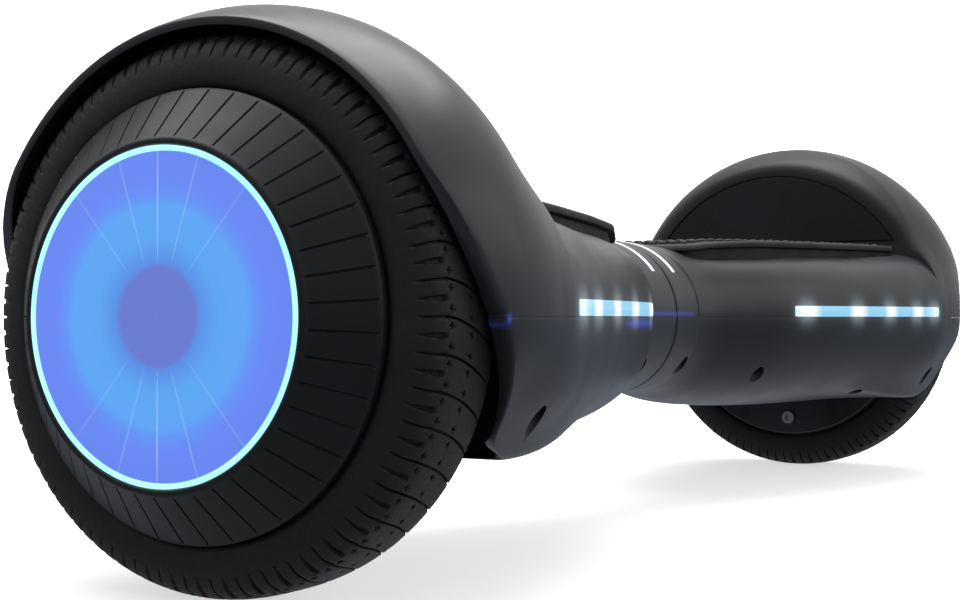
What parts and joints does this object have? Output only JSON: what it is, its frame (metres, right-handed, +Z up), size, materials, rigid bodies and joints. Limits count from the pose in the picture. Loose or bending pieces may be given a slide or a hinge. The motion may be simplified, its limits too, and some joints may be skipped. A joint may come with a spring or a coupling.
{
  "type": "self balancing scooter",
  "caption": "Two-wheeled self balancing scooter with halves that twist about a centre pivot, rubber foot pads, hub motor wheels, fenders, light strips and lit wheel discs.",
  "frame": {"origin": "on the floor, midway between the two wheels, below the axle line", "axes": "+X along the axle line to the right half, -Y to the front with the light strips, +Z up"},
  "size_m": [0.5832, 0.185, 0.1764],
  "materials": {
    "shell": "satin",
    "panel": "satin",
    "pad_rubber": "matte",
    "led_strip": "gloss",
    "led_indicator": "gloss",
    "black_steel": "satin",
    "cast_aluminium": "matte",
    "steel": "satin",
    "windings": "satin",
    "circuit_board": "satin",
    "cable": "matte",
    "tyre": "matte",
    "painted_steel": "satin",
    "magnet": "gloss",
    "bearing_steel": "gloss",
    "hub_plastic": "satin",
    "led_disc": "satin",
    "led_ring": "gloss",
    "bronze": "satin",
    "battery_wrap": "satin",
    "port_plastic": "gloss",
    "button_plastic": "satin",
    "cap_rubber": "matte"
  },
  "bodies": {
    "left_chassis": {"left_top_shell": "shell", "left_bottom_shell": "shell", "left_fender_panel": "panel", "left_led_strip": "led_strip", "left_indicator_arc": "led_indicator", "left_shell_screws": "black_steel", "left_axle_clamp": "cast_aluminium", "left_clamp_screws": "steel", "left_axle": "steel", "left_stator": "windings", "left_gyro_board": "circuit_board", "left_motor_cable": "cable", "left_frame": "cast_aluminium", "pivot_shaft": "steel", "pivot_circlip": "bearing_steel", "bridge_harness": "cable", "main_board": "circuit_board"},
    "right_chassis": {"right_top_shell": "shell", "right_bottom_shell": "shell", "right_fender_panel": "panel", "right_led_strip": "led_strip", "right_indicator_arc": "led_indicator", "right_shell_screws": "black_steel", "right_axle_clamp": "cast_aluminium", "right_clamp_screws": "steel", "right_axle": "steel", "right_stator": "windings", "right_gyro_board": "circuit_board", "right_motor_cable": "cable", "right_frame": "cast_aluminium", "pivot_bushes": "bronze", "battery_pack": "battery_wrap", "charge_port": "port_plastic", "button_bezel": "port_plastic"},
    "left_wheel": {"left_tyre": "tyre", "left_hub_rim": "painted_steel", "left_motor_cover": "painted_steel", "left_cover_screws": "steel", "left_magnets": "magnet", "left_wheel_bearings": "bearing_steel", "left_hub_cover": "hub_plastic", "left_led_board": "circuit_board", "left_led_disc": "led_disc", "left_led_ring": "led_ring"},
    "left_pad": {"left_foot_pad": "pad_rubber", "left_pad_plungers": "pad_rubber"},
    "right_wheel": {"right_tyre": "tyre", "right_hub_rim": "painted_steel", "right_motor_cover": "painted_steel", "right_cover_screws": "steel", "right_magnets": "magnet", "right_wheel_bearings": "bearing_steel", "right_hub_cover": "hub_plastic", "right_led_board": "circuit_board", "right_led_disc": "led_disc", "right_led_ring": "led_ring"},
    "right_pad": {"right_foot_pad": "pad_rubber", "right_pad_plungers": "pad_rubber"},
    "power_button": {"power_button": "button_plastic"},
    "charge_cap": {"charge_port_cap": "cap_rubber"}
  },
  "joints": [
    {"name": "halves_twist", "type": "hinge", "parent": "left_chassis", "child": "right_chassis", "pos_m": [0, 0, 0.0825], "axis": [1, 0, 0], "range_deg": [-12, 12]},
    {"name": "left_wheel_spin", "type": "hinge", "parent": "left_chassis", "child": "left_wheel", "pos_m": [-0.2565, 0, 0.0825], "axis": [1, 0, 0], "continuous": true},
    {"name": "right_wheel_spin", "type": "hinge", "parent": "right_chassis", "child": "right_wheel", "pos_m": [0.2565, 0, 0.0825], "axis": [1, 0, 0], "continuous": true},
    {"name": "left_pad_press", "type": "slide", "parent": "left_chassis", "child": "left_pad", "axis": [0, 0, -1], "range_m": [0, 0.0015], "stiffness_N_per_m": 20000, "springref_m": -0.0002},
    {"name": "right_pad_press", "type": "slide", "parent": "right_chassis", "child": "right_pad", "axis": [0, 0, -1], "range_m": [0, 0.0015], "stiffness_N_per_m": 20000, "springref_m": -0.0002},
    {"name": "power_button_press", "type": "slide", "parent": "right_chassis", "child": "power_button", "axis": [0.309, -0.9511, 0], "range_m": [0, 0.001], "stiffness_N_per_m": 600, "springref_m": -0.0003},
    {"name": "charge_cap_swing", "type": "hinge", "parent": "right_chassis", "child": "charge_cap", "pos_m": [0.1113, 0.06789, 0.0807], "axis": [0.9659, 0.2588, 0], "range_deg": [0, 110]}
  ]
}
